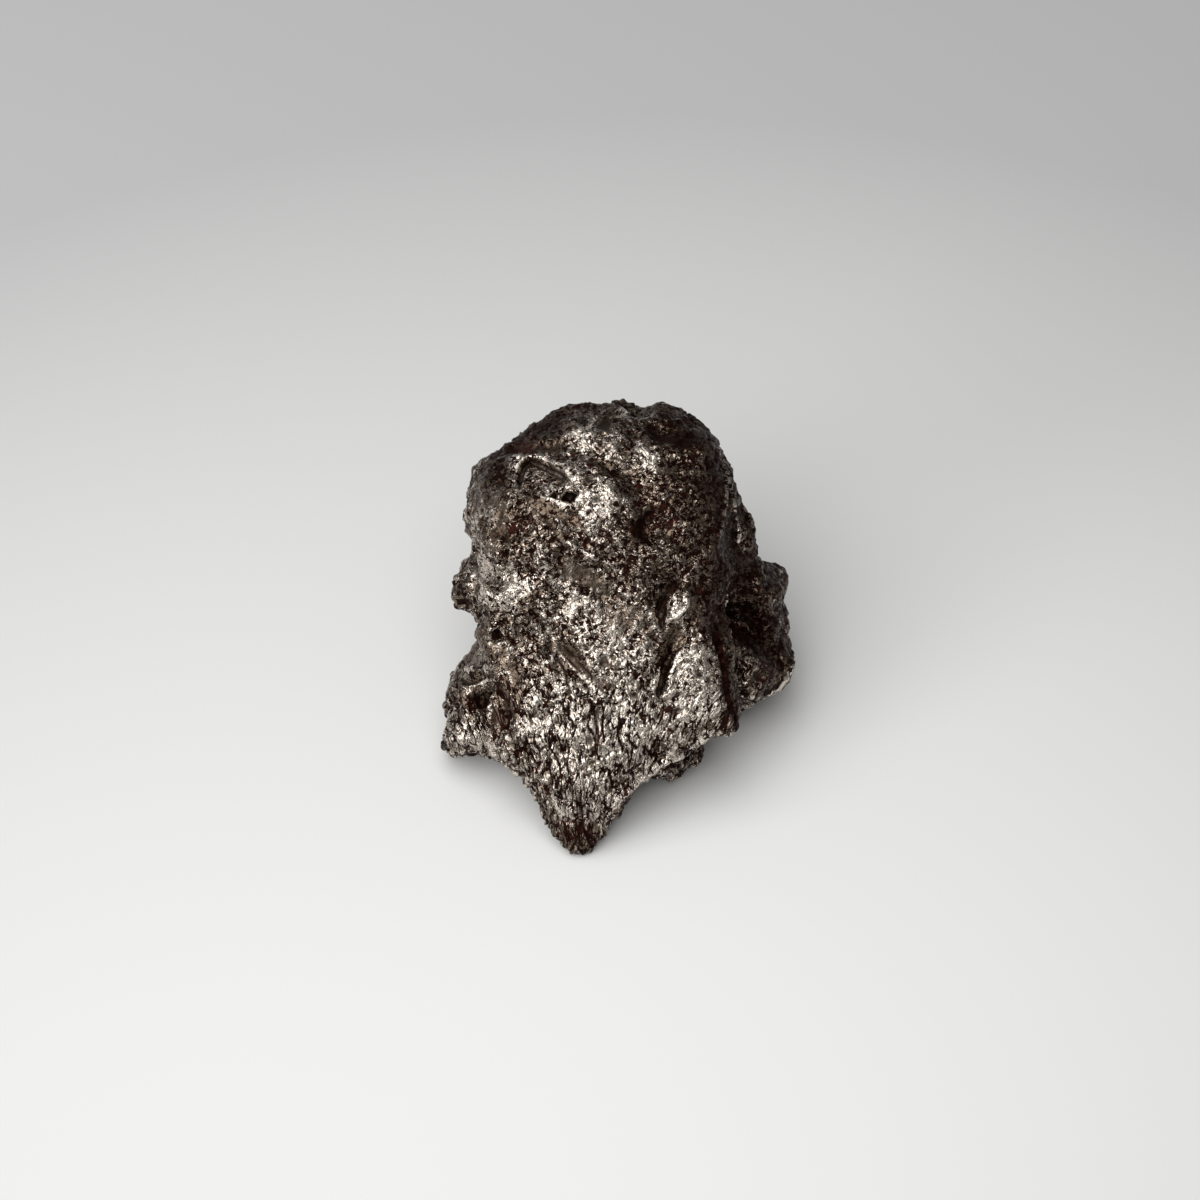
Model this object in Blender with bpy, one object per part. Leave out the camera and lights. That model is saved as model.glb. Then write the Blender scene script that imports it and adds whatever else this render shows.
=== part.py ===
"""An iron meteorite: one lump of nickel-iron, torn and melted into lobes, resting on a few small worn spots.

The form is drawn face-on, in millimetres: x to the right, y up the face, and z out of the face towards the
viewer. It is blocked out from rounded lumps, fused into one skin, carved, thinned to a light mesh, raised by
FACE_RISE into the pose in which it rests, and worn flat where it touches the table.
"""

import math

import bmesh
import bpy
import numpy as np
from mathutils import Matrix, Vector, noise
from mathutils.bvhtree import BVHTree

NAME = "meteorite"
MM = 0.001

# Driving dimensions, in millimetres and degrees.
FACE_RISE = 40.0
VIEW_DISTANCE = 400.0
TABLE_LEVEL = -17.4
FUSE_CELL = 0.45
TRIANGLES = 9000

# How often the fused skin is smoothed: lightly all over, and much more where a crease is to be filled.
LIGHT_ROUNDS = 6
FILLET_ROUNDS = 60

# How full the backs of the lumps are: 2 is an ellipse, more is flatter with rounder edges.
BACK_FULLNESS = 2.1

# Waves that roughen the whole skin: the size of a wave and its height.
WAVES = [(7.0, 0.5), (3.4, 0.4), (1.9, 0.15)]

# Scooped hollows: their size, their depth on the back, and how much shallower they are on the face.
THUMBPRINTS = [(6.5, 1.3, 1.0), (3.0, 0.5, 0.35)]

# Each lump has its outline on the face and its profile. A profile row: place up the face, depth of the rim,
# bulge of the front, bulge of the back, fullness of the front.
LUMPS = {
    "body": {
        "outline": [
            (-14.3, 3.0), (-13.6, 5.5), (-13.8, 7.8), (-14.6, 9.8), (-15.0, 11.9), (-14.2, 14.0),
            (-13.9, 15.9), (-12.8, 16.9), (-10.8, 18.2), (-8.9, 19.7), (-7.6, 20.7), (-5.6, 22.1),
            (-4.4, 22.5), (-2.5, 22.0), (-0.9, 22.3), (0.4, 22.6), (2.0, 21.8), (3.9, 22.8), (5.3, 22.2),
            (7.0, 20.8), (9.2, 19.4), (10.2, 17.9), (10.6, 16.0), (11.2, 14.2), (11.2, 12.0), (11.2, 9.5),
            (11.0, 6.5), (10.6, 2.0), (10.6, -2.0), (11.0, -5.5), (11.6, -8.4), (11.3, -9.8), (9.2, -11.2),
            (6.8, -12.4), (4.0, -13.7), (1.8, -15.2), (0.9, -16.4), (-0.4, -18.2), (-2.0, -20.4),
            (-2.8, -22.1), (-4.1, -22.9), (-5.4, -22.3), (-6.4, -20.9), (-7.2, -19.4), (-7.7, -17.8),
            (-8.4, -15.9), (-9.8, -14.2), (-11.3, -12.9), (-12.4, -12.0), (-12.8, -8.0), (-13.4, -4.0),
            (-13.9, -1.2), (-13.8, 0.6),
        ],
        "profile": [
            (-22.0, -4.0, 2.6, 4.2, 3.4), (-17.0, -3.2, 3.0, 4.6, 3.6), (-10.0, -2.8, 3.0, 7.0, 3.6),
            (-3.0, -3.6, 3.2, 9.5, 3.2), (3.0, -4.8, 4.6, 12.0, 3.0), (7.0, -6.2, 7.0, 13.0, 2.8),
            (12.0, -7.5, 8.6, 13.0, 2.6), (18.0, -8.5, 8.8, 11.0, 2.6), (22.0, -9.0, 8.6, 9.0, 2.6),
        ],
    },
    "heel": {
        "outline": [
            (-8.5, 4.0), (-7.0, 9.5), (-1.0, 12.0), (5.5, 11.0), (9.5, 6.0), (9.0, -1.0), (3.0, -5.5),
            (-4.0, -4.0),
        ],
        "profile": [(-5.0, -10.0, 6.0, 8.0, 2.0), (4.0, -13.0, 6.0, 13.0, 2.0), (11.0, -14.0, 6.0, 9.0, 2.0)],
    },
    "right_side": {
        "outline": [
            (7.0, 12.0), (10.5, 12.5), (12.2, 9.5), (13.4, 6.5), (13.6, 1.0), (12.3, -5.0), (8.0, -7.0),
            (5.0, 0.0),
        ],
        "profile": [(-6.0, -10.0, 4.5, 6.0, 2.2), (12.0, -11.0, 4.5, 8.0, 2.2)],
    },
    "right_lobe": {
        "outline": [
            (12.0, 8.0), (13.1, 6.4), (14.6, 6.1), (15.9, 6.0), (16.4, 5.2), (15.3, 3.5), (16.1, 1.4),
            (16.8, -0.5), (17.3, -2.8), (17.0, -4.4), (16.2, -5.6), (14.8, -6.4), (12.8, -7.5), (9.5, -8.0),
            (7.0, -5.0), (7.0, 0.0), (8.0, 5.0),
        ],
        "profile": [(-8.0, -11.5, 4.6, 6.4, 2.6), (0.0, -12.0, 4.8, 8.1, 2.6), (8.0, -13.0, 4.6, 6.4, 2.6)],
    },
    "right_fin": {
        "outline": [
            (9.0, 14.0), (11.4, 12.3), (12.6, 11.7), (13.1, 10.0), (13.9, 8.7), (13.5, 7.8), (12.5, 7.4),
            (9.5, 7.0), (7.0, 10.0),
        ],
        "profile": [(10.0, -10.5, 3.4, 4.0, 2.0)],
    },
    "left_knob": {
        "outline": [
            (-12.0, 9.0), (-14.2, 7.3), (-15.4, 6.6), (-16.3, 5.2), (-16.7, 3.5), (-15.9, 2.2), (-14.4, 1.8),
            (-11.0, 2.0), (-9.5, 5.0),
        ],
        "profile": [(5.0, -7.6, 2.6, 5.0, 2.2)],
    },
    "left_lobe": {
        "outline": [
            (-10.5, 2.5), (-13.4, -0.9), (-14.7, -2.4), (-15.6, -4.0), (-17.1, -6.6), (-17.3, -8.8),
            (-17.2, -10.7), (-17.2, -11.9), (-16.2, -12.4), (-14.3, -12.2), (-12.2, -12.7), (-9.0, -11.0),
            (-8.0, -5.0),
        ],
        "profile": [(-12.0, -9.6, 4.2, 3.9, 2.6), (-5.0, -9.2, 4.4, 4.8, 2.6), (2.0, -8.6, 4.0, 5.0, 2.6)],
    },
    "under_lip": {
        "outline": [
            (2.5, -12.8), (3.9, -14.0), (5.2, -14.6), (6.6, -14.2), (7.6, -13.1), (7.8, -11.8), (7.0, -8.0),
            (3.0, -8.0),
        ],
        "profile": [(-12.0, -7.6, 2.6, 3.4, 2.2)],
    },
}

# Carving on the face. A stroke follows a path: a ridge where its height is above zero, a groove below.
STROKES = {
    "curl": {"path": [(-10.0, 15.3), (-9.0, 16.3), (-7.7, 16.4), (-6.3, 15.7), (-5.3, 14.7), (-4.7, 13.8)],
             "width": 0.7, "height": -0.7},
    "curl_rim": {"path": [(-6.0, 17.2), (-5.0, 16.2), (-4.2, 15.0), (-3.8, 13.6)],
                 "width": 0.8, "height": 0.5},
    "brow": {"path": [(-6.7, 9.0), (-4.5, 7.6), (-2.0, 7.0)], "width": 1.1, "height": 0.5},
    "trough": {"path": [(-5.0, 19.3), (-3.8, 17.8), (-1.0, 16.8), (0.5, 15.3), (2.2, 13.8)],
               "width": 0.9, "height": -0.7},
    "crown_fold": {"path": [(1.0, 15.5), (2.4, 13.0), (3.8, 10.2)], "width": 1.5, "height": -0.7},
    "ledge": {"path": [(-14.2, 4.3), (-12.5, 3.5), (-10.6, 3.4)], "width": 0.9, "height": 0.8},
    "ledge_dip": {"path": [(-14.0, 5.8), (-12.4, 5.2), (-10.6, 5.6)], "width": 0.9, "height": -0.7},
    "fold": {"path": [(-8.4, 1.8), (-6.5, -1.5), (-4.5, -3.8), (-2.2, -6.4)],
             "width": 1.2, "height": -0.8},
    "fold_end": {"path": [(-4.2, -4.8), (-3.2, -6.6)], "width": 0.9, "height": -0.5},
    "tadpole_edge": {"path": [(4.8, 4.7), (4.2, 3.4), (4.1, 2.2), (4.6, 1.0)],
                     "width": 0.7, "height": -0.9},
    "long_groove": {"path": [(5.9, -0.2), (5.2, -2.7), (4.5, -4.7), (3.8, -6.6)],
                    "width": 0.8, "height": -1.3},
    "shoulder": {"path": [(7.0, 3.6), (7.5, 0.8), (8.4, -2.0)], "width": 1.0, "height": 0.6},
    "bowl": {"path": [(11.2, 1.8), (13.2, 0.8), (15.0, -1.2), (16.8, -3.4)],
             "width": 1.8, "height": -3.2},
    "lobe_edge": {"path": [(13.5, 7.0), (13.8, 5.0), (13.7, 3.0)], "width": 0.9, "height": 1.0},
    "left_hollow": {"path": [(-13.8, -6.0), (-13.0, -8.0), (-12.2, -10.0)],
                    "width": 1.3, "height": -2.0},
    "left_lip": {"path": [(-17.0, -10.2), (-15.2, -10.8), (-13.4, -11.4)], "width": 1.0, "height": 0.6},
}

# Ovals are bumps and hollows; turn is in degrees, against the clock.
OVALS = {
    "crown_hollow": {"at": (4.2, 20.4), "radii": (1.6, 1.3), "turn": 0.0, "height": -1.3},
    "crown": {"at": (-2.0, 17.0), "radii": (3.0, 4.0), "turn": 20.0, "height": 0.6},
    "hole": {"at": (-5.0, 13.2), "radii": (0.8, 0.8), "turn": 0.0, "height": -1.1},
    "cheek": {"at": (0.2, 13.0), "radii": (3.4, 2.2), "turn": -20.0, "height": 0.6},
    "right_eye": {"at": (3.4, 10.0), "radii": (2.2, 1.4), "turn": 10.0, "height": -0.9},
    "left_eye": {"at": (-10.2, 10.4), "radii": (2.0, 1.4), "turn": -10.0, "height": -0.9},
    "waist": {"at": (-2.5, 3.4), "radii": (6.0, 2.6), "turn": -12.0, "height": -0.3},
    "tadpole": {"at": (5.8, 3.0), "radii": (1.1, 1.8), "turn": -12.0, "height": 0.9},
    "square_pit": {"at": (-12.4, -0.3), "radii": (0.8, 0.7), "turn": 0.0, "height": -0.9},
    "bright_facet": {"at": (8.0, -5.6), "radii": (2.4, 4.2), "turn": 8.0, "height": 0.7},
    "lobe_foot": {"at": (13.0, -4.6), "radii": (2.0, 2.2), "turn": 0.0, "height": 1.2},
    "chest": {"at": (-1.0, -9.0), "radii": (4.0, 3.0), "turn": 0.0, "height": 0.4},
    "chest_dip": {"at": (-7.5, -8.0), "radii": (2.4, 3.6), "turn": 25.0, "height": -0.6},
}


def clear_scene():
    for obj in list(bpy.data.objects):
        bpy.data.objects.remove(obj)


def smooth_outline(points, count):
    """A smooth closed curve through the points, sampled at count places."""
    points = np.array(points)
    places = np.linspace(0.0, len(points), count, endpoint=False)
    start = places.astype(int)
    t = (places - start)[:, None]
    a, b, c, d = (points[(start + step) % len(points)] for step in (-1, 0, 1, 2))
    return 0.5 * (2 * b + (c - a) * t + (2 * a - 5 * b + 4 * c - d) * t**2 + (3 * b - a - 3 * c + d) * t**3)


def as_seen(points):
    """Widens what lies deep, so that seen from VIEW_DISTANCE it still falls on its outline."""
    spread = 1.0 - points[..., 2:3] / VIEW_DISTANCE
    return np.concatenate([points[..., :2] * spread, points[..., 2:3]], axis=-1)


def add_lump(bm, outline, profile, around=160, rings=16):
    """A closed pebble: a rim on the outline, a bulge towards the viewer and one away."""
    edge = smooth_outline(outline, around)
    centre = edge.mean(axis=0)
    places, *columns, fullness = np.array(profile).T
    front_fullness = np.interp(edge[:, 1], places, fullness)[:, None]

    def ring(share, side):
        """One row of points: share 0 is a pole, 1 is the rim; side 1 is the front, -1 the back."""
        angle = share * math.pi / 2
        power = 2 / front_fullness if side > 0 else 2 / BACK_FULLNESS
        flat = centre + (edge - centre) * math.sin(angle) ** power
        rim, front, back = (np.interp(flat[:, 1:], places, column) for column in columns)
        bulge = front if side > 0 else back
        return as_seen(np.hstack([flat, rim + side * bulge * math.cos(angle) ** power]))

    rows = [ring(i / rings, 1) for i in range(1, rings + 1)]
    rows += [ring(i / rings, -1) for i in range(rings - 1, 0, -1)]
    made = [[bm.verts.new(point) for point in row] for row in rows]
    front_pole, back_pole = (bm.verts.new(ring(0.0, side)[0]) for side in (1, -1))
    for i in range(around):
        j = (i + 1) % around
        for upper, lower in zip(made, made[1:]):
            bm.faces.new((upper[i], upper[j], lower[j], lower[i]))
        bm.faces.new((front_pole, made[0][j], made[0][i]))
        bm.faces.new((back_pole, made[-1][i], made[-1][j]))


def evaluated_mesh(obj):
    """The object's mesh with its modifiers applied, as a new mesh; the object itself goes."""
    graph = bpy.context.evaluated_depsgraph_get()
    graph.update()
    mesh = bpy.data.meshes.new_from_object(obj.evaluated_get(graph))
    bpy.data.objects.remove(obj)
    return mesh


def points_of(mesh):
    values = np.empty(len(mesh.vertices) * 3, np.float32)
    mesh.vertices.foreach_get("co", values)
    return values.reshape(-1, 3).astype(float)


def normals_of(mesh):
    values = np.empty(len(mesh.vertices) * 3, np.float32)
    mesh.vertex_normals.foreach_get("vector", values)
    return values.reshape(-1, 3).astype(float)


def put_points(mesh, points):
    mesh.vertices.foreach_set("co", points.astype(np.float32).ravel())
    mesh.update()


def smoothed(points, edges, rounds):
    """The points, drawn half-way to the middle of their neighbours as many times as there are rounds."""
    neighbours = np.bincount(edges.ravel(), minlength=len(points))[:, None]
    for _ in range(rounds):
        total = np.zeros_like(points)
        np.add.at(total, edges[:, 0], points[edges[:, 1]])
        np.add.at(total, edges[:, 1], points[edges[:, 0]])
        points = (points + total / neighbours) / 2
    return points


def fused_skin():
    """All the lumps under one skin; the creases between them are filled, the bumps are kept."""
    bm = bmesh.new()
    for lump in LUMPS.values():
        add_lump(bm, **lump)
    bmesh.ops.recalc_face_normals(bm, faces=bm.faces)
    mesh = bpy.data.meshes.new("lumps")
    bm.to_mesh(mesh)
    bm.free()
    obj = bpy.data.objects.new("lumps", mesh)
    bpy.context.scene.collection.objects.link(obj)
    fuse = obj.modifiers.new("fuse", "REMESH")
    fuse.mode = "VOXEL"
    fuse.voxel_size = FUSE_CELL
    skin = evaluated_mesh(obj)

    edges = np.array([edge.vertices for edge in skin.edges])
    light = smoothed(points_of(skin), edges, LIGHT_ROUNDS)
    heavy = smoothed(light, edges, FILLET_ROUNDS)
    put_points(skin, light)
    normals = normals_of(skin)
    outward = ((heavy - light) * normals).sum(axis=1, keepdims=True)
    put_points(skin, light + normals * np.maximum(outward, 0.0))
    return skin


def noise_at(points, size, seed):
    """Smooth noise of about plus or minus one, whose bumps are size across."""
    shift = Vector((17.3 * seed, 5.1 * seed, 9.7 * seed))
    return np.array([noise.noise(Vector(point) / size + shift) for point in points])


def thumbprints(points, size, seed):
    """Scooped hollows of this size, packed side by side: -0.5 in a hollow, 0.5 on the ridge between two."""
    shift = Vector((3.7 * seed, 11.9 * seed, 7.3 * seed))
    slope_width = 0.55
    made = []
    for point in points:
        nearest, second = noise.voronoi(Vector(point) / size + shift)[0][:2]
        made.append(0.5 - min(1.0, (second - nearest) / slope_width))
    return np.array(made)


def distance_to_path(flat, path):
    """Each point's distance to the path, and how far along the path its nearest place is, 0 to 1."""
    path = np.array(path)
    best = np.full(len(flat), np.inf)
    along = np.zeros(len(flat))
    for i, (a, b) in enumerate(zip(path, path[1:])):
        t = np.clip((flat - a) @ (b - a) / ((b - a) @ (b - a)), 0, 1)
        away = np.linalg.norm(flat - a - t[:, None] * (b - a), axis=1)
        nearer = away < best
        best[nearer] = away[nearer]
        along[nearer] = ((i + t) / (len(path) - 1))[nearer]
    return best, along


def in_view(mesh, points, normals):
    """1 for a point that the viewer of the face sees, 0 for one turned away or behind another part."""
    tree = BVHTree.FromPolygons(points.tolist(), [tuple(face.vertices) for face in mesh.polygons])
    eye = Vector((0.0, 0.0, VIEW_DISTANCE))
    clear_of_skin = 0.6
    least, enough = 0.05, 0.35
    seen = np.zeros(len(points))
    for i, (point, normal) in enumerate(zip(points, normals)):
        way = (eye - Vector(point)).normalized()
        facing = way.dot(Vector(normal))
        if facing > least and tree.ray_cast(Vector(point) + way * clear_of_skin, way)[0] is None:
            seen[i] = min(1.0, (facing - least) / (enough - least))
    return seen


def stroke_height(flat, path, width, height):
    """A ridge or groove along the path, fading towards both of its ends."""
    away, along = distance_to_path(flat, path)
    at_the_end, rise = 0.35, 4.0
    fade = np.clip(at_the_end + rise * np.minimum(along, 1 - along), 0, 1)
    return height * fade * np.exp(-((away / width) ** 2))


def oval_height(flat, at, radii, turn, height):
    """A bump or hollow with a flat middle and soft edges."""
    turn = math.radians(turn)
    to_oval = np.array([[math.cos(turn), math.sin(turn)], [-math.sin(turn), math.cos(turn)]])
    away = np.linalg.norm((flat - at) @ to_oval.T / radii, axis=1)
    return height * np.exp(-(away**3))


def carve(mesh):
    """Moves the skin along its normals: broad waves, thumbprint hollows, and the carving of the face."""
    points = points_of(mesh)
    normals = normals_of(mesh)
    seen = in_view(mesh, points, normals)
    flat = points[:, :2] / (1.0 - points[:, 2:3] / VIEW_DISTANCE)

    height = np.zeros(len(points))
    for seed, (size, swing) in enumerate(WAVES, 1):
        height += swing * noise_at(points, size, seed)
    for seed, (size, depth, less_on_face) in enumerate(THUMBPRINTS, 1):
        height += (depth - less_on_face * seen) * thumbprints(points, size, seed)
    height += seen * sum(stroke_height(flat, **stroke) for stroke in STROKES.values())
    height += seen * sum(oval_height(flat, **oval) for oval in OVALS.values())
    put_points(mesh, points + normals * height[:, None])


def thinned(mesh):
    """The same form with about TRIANGLES triangles, small where the surface turns sharply."""
    obj = bpy.data.objects.new("dense", mesh)
    bpy.context.scene.collection.objects.link(obj)
    thin = obj.modifiers.new("thin", "DECIMATE")
    thin.ratio = TRIANGLES / (2 * len(mesh.polygons))
    thin.use_collapse_triangulate = True
    return evaluated_mesh(obj)


def set_down(mesh):
    """Raises the face into the resting pose, wears the lowest spots flat, and puts them on z = 0."""
    mesh.transform(Matrix.Rotation(math.radians(FACE_RISE), 4, "X"))
    bm = bmesh.new()
    bm.from_mesh(mesh)
    everything = bm.verts[:] + bm.edges[:] + bm.faces[:]
    table_point = (0, 0, TABLE_LEVEL)
    on_the_cut = 0.02
    bmesh.ops.bisect_plane(
        bm, geom=everything, dist=on_the_cut, plane_co=table_point, plane_no=(0, 0, 1), clear_inner=True
    )
    open_edges = [edge for edge in bm.edges if edge.is_boundary]
    for pad in bmesh.ops.holes_fill(bm, edges=open_edges, sides=0)["faces"]:
        middle = [round(value, 2) for value in pad.calc_center_median()]
        print("worn spot at", middle, "area", pad.calc_area())
    bmesh.ops.recalc_face_normals(bm, faces=bm.faces)
    bmesh.ops.triangulate(bm, faces=[face for face in bm.faces if len(face.verts) > 3])
    bm.to_mesh(mesh)
    bm.free()
    low, high = points_of(mesh).min(axis=0), points_of(mesh).max(axis=0)
    middle = (low + high) / 2
    mesh.transform(Matrix.Translation((-middle[0], -middle[1], -TABLE_LEVEL)))
    mesh.transform(Matrix.Scale(MM, 4))
    print("origin shift", middle.round(3), "size", (high - low).round(3))


def iron():
    material = bpy.data.materials.new("iron")
    material.use_nodes = True
    shader = material.node_tree.nodes["Principled BSDF"]
    shader.inputs["Base Color"].default_value = (0.12, 0.10, 0.085, 1.0)
    shader.inputs["Metallic"].default_value = 1.0
    shader.inputs["Roughness"].default_value = 0.38
    return material


def main():
    clear_scene()
    skin = fused_skin()
    carve(skin)
    mesh = thinned(skin)
    set_down(mesh)
    mesh.name = NAME
    mesh.shade_flat()
    mesh.materials.clear()
    mesh.materials.append(iron())
    bpy.context.scene.collection.objects.link(bpy.data.objects.new(NAME, mesh))
    print(len(mesh.polygons), "triangles")


main()
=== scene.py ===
# %% [markdown]
# # An iron meteorite
#
# This lesson dresses a imported CAD model of a small iron meteorite. The real thing is one lump of
# nickel-iron that melted and tore on its way through the air. Its skin is a crumpled foil of tiny ridges
# and pits: the ridges are worn bright, and the pits hold black shadow and red-brown rust. We give the CAD
# solid that skin in real geometry, then an iron finish, and light it softly on a pale table.

# %% [markdown]
# ## The frame
#
# The CAD model is imported first, and stays fixed. Everything here is in metres, in its frame, so the
# skin that we grow over it needs no fitting.

import math

import bpy
import numpy as np
from mathutils import Matrix, Vector, noise
from mathutils.bvhtree import BVHTree


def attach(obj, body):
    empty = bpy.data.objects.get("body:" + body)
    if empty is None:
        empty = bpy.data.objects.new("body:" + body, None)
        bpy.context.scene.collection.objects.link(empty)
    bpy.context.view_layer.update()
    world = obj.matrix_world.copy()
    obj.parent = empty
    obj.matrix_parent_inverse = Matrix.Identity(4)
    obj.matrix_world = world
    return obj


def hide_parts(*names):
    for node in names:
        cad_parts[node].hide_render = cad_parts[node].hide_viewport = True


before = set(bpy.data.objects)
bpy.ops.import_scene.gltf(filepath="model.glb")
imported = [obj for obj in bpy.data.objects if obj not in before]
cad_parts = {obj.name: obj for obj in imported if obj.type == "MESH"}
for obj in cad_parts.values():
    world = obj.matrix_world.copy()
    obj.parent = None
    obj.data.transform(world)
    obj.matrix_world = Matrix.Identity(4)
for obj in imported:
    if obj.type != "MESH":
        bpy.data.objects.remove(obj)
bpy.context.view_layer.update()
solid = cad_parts["meteorite"]

# %% [markdown]
# ## Places on the face
#
# A lump has no front, but a photograph gives it one: the face. Measuring on the face is far easier than
# measuring in the room, so we describe each groove and pit by its millimetres across and up the face. One
# matrix carries points between the two. The face is raised by 40 degrees from lying flat, and a point's
# distance from the eye makes it look a little larger or smaller, which `on_face` corrects.

# %% Turn between the room and the face
MM = 0.001
FACE_RISE = 40.0
FACE_ORIGIN = Vector((0.18, -5.13, 17.4)) * MM
VIEW_DISTANCE = 400.0

face_to_room = (
    Matrix.Translation(FACE_ORIGIN) @ Matrix.Rotation(math.radians(FACE_RISE), 4, "X") @ Matrix.Scale(MM, 4)
)
room_to_face = face_to_room.inverted()


def carried(points, matrix):
    """Rows of points, each carried by a 4 by 4 matrix."""
    table = np.array(matrix)
    return points @ table[:3, :3].T + table[:3, 3]


def on_face(points):
    """Where the viewer in front of the face sees each point: millimetres across and up."""
    return points[:, :2] / (1.0 - points[:, 2:3] / VIEW_DISTANCE)


print("The eye is at", (face_to_room @ Vector((0, 0, VIEW_DISTANCE))).to_tuple(4))

# %% [markdown]
# ## Mesh helpers
#
# numpy handles a hundred thousand points at once, so vertices go out to it as rows of three numbers and
# come back the same way. The last helper stores one number per vertex as an attribute, which a material
# can read by name.

# %% Exchange points with numpy
def points_of(mesh):
    values = np.empty(len(mesh.vertices) * 3, np.float32)
    mesh.vertices.foreach_get("co", values)
    return values.reshape(-1, 3).astype(float)


def normals_of(mesh):
    values = np.empty(len(mesh.vertices) * 3, np.float32)
    mesh.vertex_normals.foreach_get("vector", values)
    return values.reshape(-1, 3).astype(float)


def put_points(mesh, points):
    mesh.vertices.foreach_set("co", points.astype(np.float32).ravel())
    mesh.update()


def store(mesh, name, values):
    layer = mesh.attributes.new(name, "FLOAT", "POINT")
    layer.data.foreach_set("value", values.astype(np.float32))
    print(f"Stored {name}: {values.min():.2f} to {values.max():.2f}, mean {values.mean():.2f}")


print("The solid has", len(points_of(solid.data)), "corners")

# %% [markdown]
# ## A fine skin
#
# The solid has only nine thousand triangles, and its facets show. A voxel remesh lays an even net of
# small squares over any closed shape, and smoothing then melts the facets away. An even net would spend
# as much on the hidden underside as on the face, so the lump is first swollen towards the viewer: each
# point grows by how near it is. The net is laid on the swollen copy, and when the swelling is undone its
# squares are finest on the face.

# %% Swell, lay the net, smooth, and shrink back
SWELL = 0.028
NET_CELL = 0.2
SMOOTH_ROUNDS = 18
SMOOTH_STRENGTH = 0.5


def swollen(points):
    """Face points, with what is near the viewer made larger and what is far made smaller."""
    growth = np.exp(SWELL * points[:, 2:3])
    return np.hstack([points[:, :2] * growth, growth / SWELL])


def shrunk(points):
    growth = points[:, 2:3] * SWELL
    return np.hstack([points[:, :2] / growth, np.log(growth) / SWELL])


skin_mesh = solid.data.copy()
skin_mesh.name = "meteorite_skin"
put_points(skin_mesh, swollen(carried(points_of(skin_mesh), room_to_face)))
skin = bpy.data.objects.new("meteorite_skin", skin_mesh)
bpy.context.scene.collection.objects.link(skin)
net = skin.modifiers.new("net", "REMESH")
net.mode = "VOXEL"
net.voxel_size = NET_CELL
soften = skin.modifiers.new("soften", "SMOOTH")
soften.factor = SMOOTH_STRENGTH
soften.iterations = SMOOTH_ROUNDS
graph = bpy.context.evaluated_depsgraph_get()
skin_mesh = bpy.data.meshes.new_from_object(skin.evaluated_get(graph))
skin.modifiers.clear()
skin.data = skin_mesh
put_points(skin_mesh, shrunk(points_of(skin_mesh)))
print("The skin has", len(skin_mesh.polygons), "squares")

# %% [markdown]
# ## What the viewer sees
#
# The grooves and pits measured on the face belong to the face only. Without a test they would be pressed
# through to the back as well, like a stamp. A ray from each point towards the eye tells whether something
# is in the way.

# %% Mark the points that face the viewer
EDGE_ON = 0.05
FACING_FADE = 0.25
CLEAR_OF_SKIN = 0.6


def in_view(mesh, points, normals):
    """1 where the viewer sees the surface, fading to 0 where it turns away or hides behind another part."""
    tree = BVHTree.FromPolygons(points.tolist(), [tuple(face.vertices) for face in mesh.polygons])
    eye = np.array([0.0, 0.0, VIEW_DISTANCE])
    ways = (eye - points) / np.linalg.norm(eye - points, axis=1, keepdims=True)
    facing = (ways * normals).sum(axis=1)
    seen = np.clip((facing - EDGE_ON) / FACING_FADE, 0.0, 1.0)
    for i in np.flatnonzero(seen):
        way = Vector(ways[i])
        if tree.ray_cast(Vector(points[i]) + way * CLEAR_OF_SKIN, way)[0]:
            seen[i] = 0.0
    return seen


base = points_of(skin_mesh)
normals = normals_of(skin_mesh)
seen = in_view(skin_mesh, base, normals)
face = on_face(base)
print(f"The viewer sees {seen.mean():.0%} of the points")

# %% [markdown]
# ## Grooves and ridges
#
# The face has a curl like a comma, a long torn groove, a diagonal fold and many thin ridges. Sculpting
# them by hand would be quicker to start and harder to change, so each is a path on the face with a width
# and a height in millimetres: below zero it is cut in, above zero it stands out. The height falls off on
# both sides of the path like a bell, and fades towards the ends. A fold is steep on one side and gentle
# on the other, so the left side of a path, seen along the way it runs, can have a width of its own.

# %% Follow a path
END_HEIGHT = 0.4
END_SLOPE = 5.0


def stroke(path, width, height, left_width=None):
    """A ridge or groove along a path: a height for every point of the skin."""
    path = np.array(path)
    away = np.full(len(face), np.inf)
    along = np.zeros(len(face))
    leftward = np.zeros(len(face))
    for i, (a, b) in enumerate(zip(path, path[1:])):
        t = np.clip((face - a) @ (b - a) / ((b - a) @ (b - a)), 0, 1)
        offset = face - a - t[:, None] * (b - a)
        distance = np.linalg.norm(offset, axis=1)
        nearer = distance < away
        away[nearer] = distance[nearer]
        along[nearer] = ((i + t) / (len(path) - 1))[nearer]
        leftward[nearer] = ((b - a)[0] * offset[:, 1] - (b - a)[1] * offset[:, 0])[nearer]
    widths = np.where(leftward > 0, left_width or width, width)
    fade = np.clip(END_HEIGHT + END_SLOPE * np.minimum(along, 1 - along), 0, 1)
    return height * fade * np.exp(-((away / widths) ** 2))


print(f"A path fades to {END_HEIGHT:.0%} of its height at its ends")

# %% [markdown]
# ## The marks on the face
#
# Here they are, each named after what it looks like or where it lies. The grooves are cut in, and the
# ridges are the thin rims thrown up beside them, with a few fibres that run down the side of the head. The
# only fold has a left side of its own width, and so has the cleft in the left lobe.

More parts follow.
